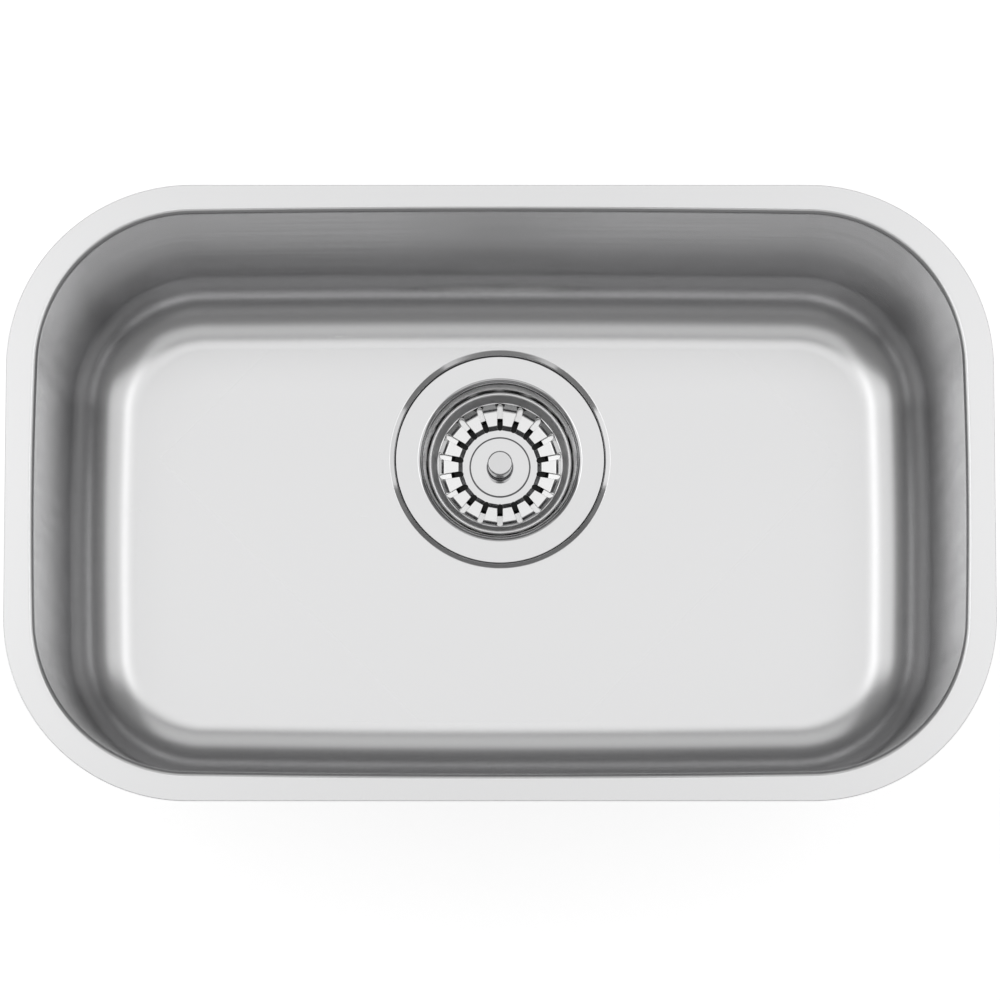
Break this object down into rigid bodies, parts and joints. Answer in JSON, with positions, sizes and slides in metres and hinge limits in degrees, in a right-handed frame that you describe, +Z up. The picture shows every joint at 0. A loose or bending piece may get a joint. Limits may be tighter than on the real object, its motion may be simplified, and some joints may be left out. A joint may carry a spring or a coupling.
{
  "type": "undermount kitchen sink",
  "caption": "Single-bowl pressed steel undermount kitchen sink with a flat flange, rounded corners and a lift-out basket strainer on an outlet tube.",
  "frame": {"origin": "middle of the flange's top plane, the face that meets the underside of the worktop", "axes": "+Z up, out of the bowl; +X to the right along the bowl's length; -Y to the front, so the drain stands behind the middle"},
  "size_m": [0.51, 0.32, 0.3436],
  "materials": {
    "satin_steel": "satin stainless steel",
    "polished_steel": "polished stainless steel",
    "plain_steel": "plain turned steel",
    "chrome_tube": "chromed brass tube",
    "pad_rubber": "matt dark sound-deadening sheet",
    "black_rubber": "smooth black rubber",
    "grey_foam": "dense grey foam",
    "white_plastic": "plain white nylon",
    "grey_plastic": "moulded grey plastic"
  },
  "bodies": {
    "sink": {"sink_bowl": "satin_steel", "wall_pad_front": "pad_rubber", "wall_pad_back": "pad_rubber", "wall_pad_left": "pad_rubber", "wall_pad_right": "pad_rubber", "floor_pad_left": "pad_rubber", "floor_pad_right": "pad_rubber", "strainer_body": "polished_steel", "cross_grid": "polished_steel", "flange_gasket": "grey_foam", "sink_gasket": "black_rubber", "friction_ring": "white_plastic", "lock_nut": "grey_plastic", "tail_washer": "white_plastic", "tail_piece": "chrome_tube", "coupling_nut": "grey_plastic"},
    "clip": {"stem_clip": "white_plastic"},
    "basket": {"basket_shell": "polished_steel", "basket_seal": "black_rubber", "seal_plate": "plain_steel", "stem": "plain_steel", "stem_nut": "plain_steel", "knob": "polished_steel"}
  },
  "joints": [
    {"name": "basket_lift", "type": "slide", "parent": "sink", "child": "clip", "axis": [0, 0, 1], "range_m": [0, 0.245]},
    {"name": "basket_turn", "type": "hinge", "parent": "clip", "child": "basket", "pos_m": [0, 0.0415, -0.212], "axis": [0, 0, 1], "continuous": true}
  ]
}
